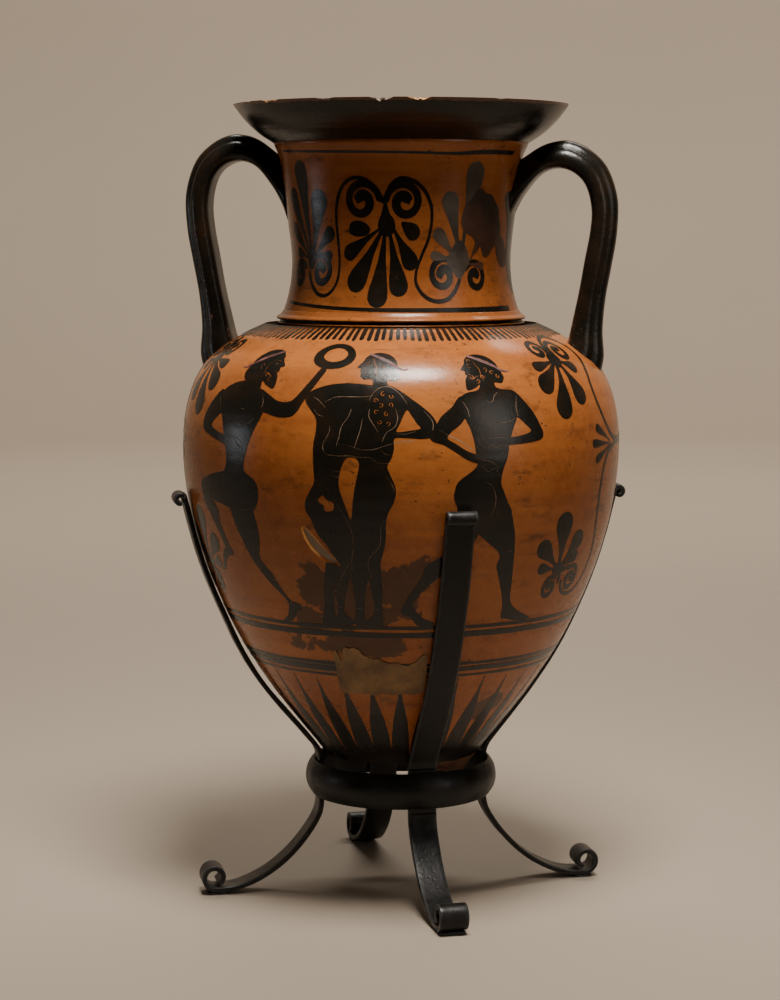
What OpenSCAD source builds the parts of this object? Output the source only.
// Footless neck amphora standing in a forged four-legged cradle.
// Row frame: +Z up, origin under the vessel's axis on the table, handles along X, painted side towards -Y.

/* [Vessel] */
// Height of the rim above the table
rim_z = 328; // [322:1:334]
// Radius of the rim
rim_r = 69.3; // [66:0.1:72]
// Height of the joint between neck and shoulder
shoulder_z = 238.5; // [238:0.1:240]
// Height of the joint between neck and mouth
mouth_z = 312.5; // [311:0.1:314]
// Wall thickness of the neck
neck_wall = 4.5; // [3.5:0.1:5]
// Outer radius of the raised ring round the foot of the neck
ring_r = 52; // [51:0.1:54]
// Height of the raised ring
ring_h = 3.8; // [2:0.1:5]

/* [Break under the belly] */
// Height of the broken face on the axis
break_z = 54; // [52:0.1:56]
// Tilt of the broken face, low on the right
break_tilt = 8; // [0:0.5:10]
// Direction of its low side, from +X
break_dir = 10; // [-30:1:50]
// Tilt of the second broken face, high at the front left
spall_tilt = 17.5; // [10:0.5:20]
// Height of the second broken face on the axis
spall_z = 52; // [48:0.5:53]

/* [Handles] */
// Half width of a handle across its three reeds
reed_half = 8.5; // [7:0.1:10]
// How much higher the left handle arches than the right one
handle_step = 3.4; // [0:0.1:5]
// How far both arches lean towards the left side
handle_lean = 1; // [0:0.1:2]

/* [Paper label] */
// First edge of the label, an angle round the vessel
label_from = -102; // [-110:1:-95]
// Angle that the label covers
label_span = 31; // [10:1:40]
// Height of its lower edge
label_z = 93; // [88:1:96]
// Height of its upper edge
label_top = 114; // [110:1:118]
// Thickness of the paper
label_t = 0.3; // [0.2:0.05:0.5]

/* [Stand hoop] */
// Inner radius of the hoop
hoop_in = 36.5; // [36.4:0.1:37]
// Height of the hoop's half-round bar
hoop_h = 15; // [12:0.5:17]
// Height of the hoop's lower edge
hoop_z = 40.3; // [38:0.1:42]
// Thickness of the bar at its edges
hoop_edge = 0.8; // [0.5:0.1:1.5]
// How far the bar's round face stands beyond its edges
hoop_crown = 3.1; // [2:0.1:4]

/* [Stand straps] */
// Width of the flat bar
strap_w = 12; // [10:0.5:13]
// Thickness of the flat bar
strap_t = 2.2; // [1.8:0.1:2.4]
// Clearance between a strap and the vessel
strap_gap = 0.45; // [0.35:0.05:0.8]
// Thickness of the pad under each foot
pad_t = 1.2; // [0.8:0.1:1.5]

/* [Hidden] */
$fn = 96;

fired_clay = [0.62, 0.33, 0.14];
black_gloss = [0.10, 0.09, 0.08];
bare_clay = [0.55, 0.36, 0.25];
black_iron = [0.13, 0.13, 0.13];
braze_metal = [0.30, 0.27, 0.22];
old_paper = [0.62, 0.50, 0.30];
dark_felt = [0.20, 0.20, 0.20];

// ---- curves ----

// One point of a Catmull-Rom curve through the points p, between p[i] and p[i + 1]
function curve_point(p, i, t) =
  let (
    a = p[max(i - 1, 0)],
    b = p[i],
    c = p[i + 1],
    d = p[min(i + 2, len(p) - 1)]
  )
  0.5 * (2 * b + (c - a) * t + (2 * a - 5 * b + 4 * c - d) * t * t + (3 * b - a - 3 * c + d) * t * t * t);

// Smooth curve through the points p, with n steps between neighbours
function curve(p, n) = concat(
  [for (i = [0 : len(p) - 2]) for (k = [0 : n - 1]) curve_point(p, i, k / n)],
  [p[len(p) - 1]]
);

// Unit normal on the right-hand side of a path at its point i
function side(path, i) =
  let (d = path[min(i + 1, len(path) - 1)] - path[max(i - 1, 0)])
  [d[1], -d[0]] / norm(d);

// The path moved sideways by the distance s
function shifted(path, s) = [for (i = [0 : len(path) - 1]) path[i] + side(path, i) * s];

function backwards(p) = [for (i = [len(p) - 1 : -1 : 0]) p[i]];

// ---- outlines as [radius, height] ----

// Belly from the broken stem up to the shoulder
belly_curve = curve([
  [25, 46], [28, 52], [35.2, 62], [42.4, 71], [55.5, 88], [66.8, 105.5], [75.5, 123],
  [82.2, 140], [87, 156.5], [90, 173], [91, 188], [90, 201], [87.2, 212], [82.5, 221],
  [76, 227.5], [66, 234], [56.5, shoulder_z]
], 5);

// Hollow of the belly, from its floor on the axis up to the neck
belly_hollow = concat(
  [[0, 66], [14, 66.5]],
  curve([
    [26, 70], [38.5, 78], [50.5, 92], [61.8, 108.5], [70.6, 126], [77.4, 143],
    [82, 158], [85, 174], [86, 188], [85, 200], [82.4, 209.5], [78, 217], [71.5, 223.5],
    [62, 229.5], [51, 234.5], [44.6, shoulder_z]
  ], 3)
);

neck_curve = curve([
  [49.4, shoulder_z + ring_h], [47.2, 249.5], [45.8, 257], [45.4, 264.5], [46, 273],
  [47.2, 283], [48.6, 296], [50.2, 306], [53, mouth_z]
], 4);

mouth_curve = curve([
  [53, mouth_z], [58.4, mouth_z + 3.6], [62.4, mouth_z + 7], [66.2, mouth_z + 11.2], [rim_r, rim_z]
], 4);

mouth_hollow = curve([
  [61.5, rim_z], [58, rim_z - 3.5], [53, rim_z - 9], [48.5, mouth_z]
], 3);

// ---- vessel ----

module belly() {
  color(fired_clay)
    difference() {
      rotate_extrude()
        polygon(concat([[0, 46]], belly_curve, backwards(belly_hollow)));
      break_face(break_z, break_tilt, break_dir);
      break_face(spall_z, spall_tilt, break_dir + 50);
    }
}

// Everything below a plane that crosses the axis at height z and dips towards the direction dir
module break_face(z, tilt, dir) {
  rotate([0, 0, dir])
    translate([0, 0, z])
      rotate([0, tilt, 0])
        translate([-60, -60, -60])
          cube([120, 120, 60]);
}

module neck() {
  color(fired_clay)
    rotate_extrude()
      polygon(concat(
        [[44.6, shoulder_z], [49.4, shoulder_z]],
        neck_curve,
        [[48.5, mouth_z]],
        backwards(shifted(neck_curve, -neck_wall * 0.999)),
        [[44.6, shoulder_z + 1.5]]
      ));
}

module neck_ring() {
  color(fired_clay)
    translate([0, 0, shoulder_z])
      rotate_extrude() {
        translate([49.4, 0])
          square([ring_r - 49.4 - ring_h / 2, ring_h]);
        translate([ring_r - ring_h / 2, ring_h / 2])
          intersection() {
            circle(r = ring_h / 2);
            translate([0, -ring_h / 2])
              square([ring_h, ring_h]);
          }
      }
}

module mouth() {
  color(black_gloss)
    rotate_extrude()
      polygon(concat(mouth_curve, mouth_hollow));
}

// ---- handles ----

// Stations along a handle: inner edge, outer edge and half width as a share of reed_half
handle_stations = [
  [45.6, 279, 48.6, 305.5, 1.25],
  [48.4, 286, 52.6, 308.5, 1.1],
  [52.6, 293.4, 58.2, 312.3, 1],
  [59.2, 301.1, 64.4, 314.6, 1],
  [66.4, 303.6, 71.2, 314.9, 1],
  [73.1, 301.6, 79.4, 311.3, 1],
  [77.8, 296.2, 86.5, 304, 1],
  [80.1, 287.2, 90.8, 291.1, 1],
  [79.6, 277.5, 90.6, 277.5, 1],
  [77.4, 265, 88.3, 263, 1],
  [74.9, 251.5, 85.8, 249, 1],
  [72.4, 240, 84.8, 236.5, 1.05],
  [70.6, 232.4, 85.4, 225.3, 1.2],
  [69.2, 229, 83.6, 216.8, 1.35]
];

// Half of the reeded section from the inner face to the crest, as [across, outward], both 0 to 1
reed_half_section = [
  [0.45, 0], [0.8, 0.06], [0.97, 0.24], [0.98, 0.44], [0.84, 0.6], [0.66, 0.64],
  [0.55, 0.66], [0.5, 0.8], [0.32, 0.94], [0, 1]
];

// Whole section: the half section and its mirror image
reed_section = concat(
  reed_half_section,
  [for (i = [len(reed_half_section) - 2 : -1 : 0]) [-reed_half_section[i][0], reed_half_section[i][1]]]
);

// How much of the step in height a station takes, from nothing at the shoulder to all at the arch
function rise(z) = max(0, min(1, (z - 230) / 70));

// How much of the lean a station takes, from half at the shoulder to all at the arch
function lean(z) = 0.5 + 0.5 * rise(z);

// Handle in the XZ plane on the side given by s, with its arch moved up by lift
module handle(s, lift) {
  stations = curve(handle_stations, 3);
  rings = len(stations);
  sides = len(reed_section);
  points = [
    for (e = stations) for (q = reed_section)
      [
        s * (e[0] + (e[2] - e[0]) * q[1]) - handle_lean * lean(e[1]),
        s * e[4] * reed_half * q[0],
        e[1] + (e[3] - e[1]) * q[1] + lift * rise(e[1])
      ]
  ];
  walls = [
    for (i = [0 : rings - 2]) for (j = [0 : sides - 1])
      let (
        a = i * sides + j,
        b = i * sides + (j + 1) % sides
      )
      each [[a, b, b + sides], [a, b + sides, a + sides]]
  ];
  start_cap = [for (j = [sides - 1 : -1 : 0]) j];
  end_cap = [for (j = [0 : sides - 1]) (rings - 1) * sides + j];
  polyhedron(points = points, faces = concat([start_cap], walls, [end_cap]), convexity = 6);
}

module handle_left() {
  color(black_gloss)
    handle(-1, handle_step / 2);
}

module handle_right() {
  color(black_gloss)
    handle(1, -handle_step / 2);
}

// ---- paper label ----

module paper_label() {
  under = [for (i = [1 : len(belly_curve) - 2])
    if (belly_curve[i][1] >= label_z && belly_curve[i][1] <= label_top)
      belly_curve[i] + side(belly_curve, i) * 0.03];
  color(old_paper)
    rotate([0, 0, label_from])
      rotate_extrude(angle = label_span)
        polygon(concat(under, backwards(shifted(under, label_t))));
}

// ---- stand ----

foot_r = 80;
foot_coil = 5.1;
foot_z = pad_t + strap_t / 2;
tip_r = 93.1;
tip_z = 166.8;
tip_coil = 1.85;
strap_in_hoop = sqrt(hoop_in * hoop_in - strap_w * strap_w / 4) - strap_t / 2;

// Angle of each strap round the axis, from +X, and the extra bow of its arm away from the vessel
FRONT = [-65.5, 0.3];
RIGHT = [21, 0.2];
BACK = [113, 0.5];
LEFT = [201, 1.1];

// Clearance at height z: the bow lies between the hoop and mid-height of the arm
function clearance(z, bow) =
  strap_gap + (z > 64 && z < 122 ? bow * pow(sin((z - 64) / 58 * 180), 2) : 0);

// Middle line of a strap: foot coil, leg, hoop, arm along the belly, tip coil
function strap_path(bow) = concat(
  [for (a = [340 : -10 : 10])
    let (r = foot_coil - 2.35 * a / 360)
    [foot_r + r * sin(a), foot_z + foot_coil - r * cos(a)]],
  [[foot_r, foot_z]],
  curve([
    [74.6, foot_z], [71, 2.8], [67, 4], [62, 6.1], [56.8, 9], [52, 12.5], [47.4, 16.7], [42.8, 21.9],
    [38.4, 28], [35.8, 33], [strap_in_hoop, 37.5], [strap_in_hoop, 39.5]
  ], 3),
  curve([[strap_in_hoop, 55.8], [35.2, 58], [36.3, 60.8]], 3),
  [for (i = [1 : len(belly_curve) - 2])
    let (p = belly_curve[i])
    if (p[1] > 63 && p[1] < 155)
      p + side(belly_curve, i) * (clearance(p[1], bow) + strap_t / 2)],
  [for (a = [166 : -16 : -106]) [tip_r + tip_coil * cos(a), tip_z + tip_coil * sin(a)]]
);

module strap(place) {
  path = strap_path(place[1]);
  color(black_iron)
    rotate([0, 0, place[0]])
      rotate([90, 0, 0])
        linear_extrude(height = strap_w, center = true)
          polygon(concat(shifted(path, strap_t / 2), backwards(shifted(path, -strap_t / 2))));
}

module strap_front() {
  strap(FRONT);
}

module strap_right() {
  strap(RIGHT);
}

module strap_back() {
  strap(BACK);
}

module strap_left() {
  strap(LEFT);
}

module hoop() {
  crown_r = (hoop_h * hoop_h / 4 + hoop_crown * hoop_crown) / (2 * hoop_crown);
  color(black_iron)
    translate([0, 0, hoop_z])
      rotate_extrude() {
        translate([hoop_in, 0])
          square([hoop_edge, hoop_h]);
        intersection() {
          translate([hoop_in + hoop_edge + hoop_crown - crown_r, hoop_h / 2])
            circle(r = crown_r);
          translate([hoop_in + hoop_edge, 0])
            square([hoop_crown + 1, hoop_h]);
        }
      }
}

// Brazing metal in the space between each flat strap and the round wall of the hoop
module braze_joints() {
  flat_face = strap_in_hoop + strap_t / 2;
  color(braze_metal)
    for (place = [FRONT, RIGHT, BACK, LEFT])
      rotate([0, 0, place[0]])
        translate([0, 0, hoop_z + 1])
          linear_extrude(height = hoop_h - 2)
            intersection() {
              circle(r = hoop_in, $fn = 720);
              translate([flat_face, -strap_w / 2 + 0.3])
                square([2, strap_w - 0.6]);
            }
}

module foot_pad(place) {
  length = 13;
  corner = 2;
  color(dark_felt)
    rotate([0, 0, place[0]])
      translate([foot_r - 3.5, 0, 0])
        linear_extrude(height = pad_t) {
          square([length, strap_w - 2 * corner], center = true);
          square([length - 2 * corner, strap_w], center = true);
          for (x = [-1, 1]) for (y = [-1, 1])
            translate([x * (length / 2 - corner), y * (strap_w / 2 - corner)])
              circle(r = corner, $fn = 32);
        }
}

module foot_pad_front() {
  foot_pad(FRONT);
}

module foot_pad_right() {
  foot_pad(RIGHT);
}

module foot_pad_back() {
  foot_pad(BACK);
}

module foot_pad_left() {
  foot_pad(LEFT);
}

belly();
neck();
neck_ring();
mouth();
handle_left();
handle_right();
paper_label();
hoop();
strap_front();
strap_right();
strap_back();
strap_left();
braze_joints();
foot_pad_front();
foot_pad_right();
foot_pad_back();
foot_pad_left();
